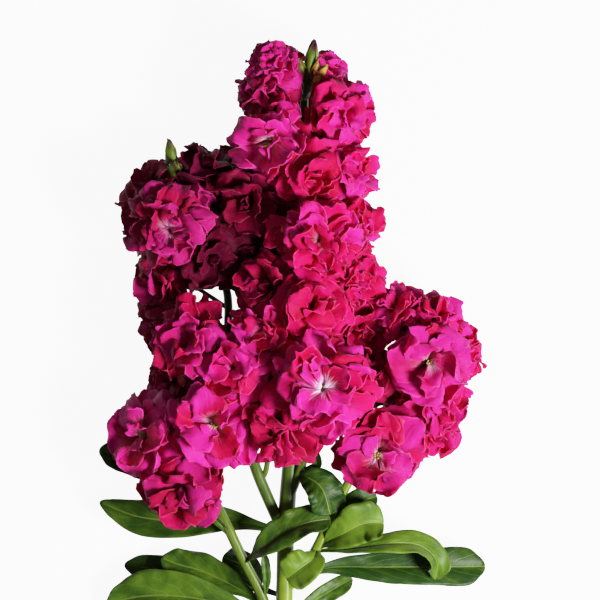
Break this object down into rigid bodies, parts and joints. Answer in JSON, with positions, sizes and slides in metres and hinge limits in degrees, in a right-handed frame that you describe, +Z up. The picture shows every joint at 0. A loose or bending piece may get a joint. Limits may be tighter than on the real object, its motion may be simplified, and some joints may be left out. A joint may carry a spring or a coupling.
{
  "type": "stock flower stem",
  "caption": "Cut stem of double stock, lying down: a tall spike and side clusters of ruffled magenta blooms above narrow green leaves and a bare lower stem.",
  "frame": {"origin": "under the middle of the whole stem, on the surface that it lies on", "axes": "+Y along the stem towards the flower head, +Z up from the surface, +X to the right when the head points away from the viewer"},
  "size_m": [0.1764, 0.3824, 0.0872],
  "materials": {
    "petal": "soft, velvety magenta petal with paler, brighter edges",
    "stem": "waxy yellow-green stem, faintly ribbed",
    "leaf": "matt dark green leaf with a pale midrib and fine veins"
  },
  "bodies": {
    "root": {"stem": "stem", "leaf_left_top": "leaf", "leaf_left_upper": "leaf", "leaf_left_long": "leaf", "leaf_left_tip": "leaf", "leaf_left_broad": "leaf", "leaf_cross": "leaf", "leaf_right_upper": "leaf", "leaf_right_arch": "leaf", "leaf_right_long": "leaf", "leaf_front": "leaf", "bloom_spike_tip_left": "petal", "bloom_spike_tip_right": "petal", "bloom_spike_top_left": "petal", "bloom_spike_top_right": "petal", "bloom_spike_upper_left": "petal", "bloom_spike_upper_right": "petal", "bloom_spike_upper_front": "petal", "bloom_spike_left": "petal", "bloom_spike_front": "petal", "bloom_spike_right": "petal", "bloom_spike_lower_right": "petal", "bloom_spike_lower_left": "petal", "bloom_spike_lower_front": "petal", "bloom_spike_base_left": "petal", "bloom_spike_base_right": "petal", "bloom_crown": "petal", "bloom_crown_below": "petal", "bloom_crown_left": "petal", "bloom_crown_low_left": "petal", "bloom_crown_right": "petal", "bloom_left_front": "petal", "bloom_left_side": "petal", "bloom_left_top": "petal", "bloom_left_back_top": "petal", "bloom_left_inner_top": "petal", "bloom_left_inner": "petal", "bloom_left_inner_low": "petal", "bloom_left_lower": "petal", "bloom_left_low": "petal", "bloom_left_shoulder": "petal", "bloom_low_left_side": "petal", "bloom_low_left_front": "petal", "bloom_low_left_below": "petal", "bloom_low_left_behind": "petal", "bloom_right_front": "petal", "bloom_right_top": "petal", "bloom_right_top_outer": "petal", "bloom_right_side": "petal", "bloom_right_below": "petal", "bloom_right_low": "petal", "bloom_right_lower_front": "petal", "bloom_back_top": "petal", "bloom_back_upper": "petal", "bloom_back_middle": "petal", "bloom_back_crown": "petal", "bloom_back_left": "petal", "bloom_back_left_low": "petal", "bloom_back_low_left": "petal", "bloom_back_right": "petal"}
  },
  "joints": []
}
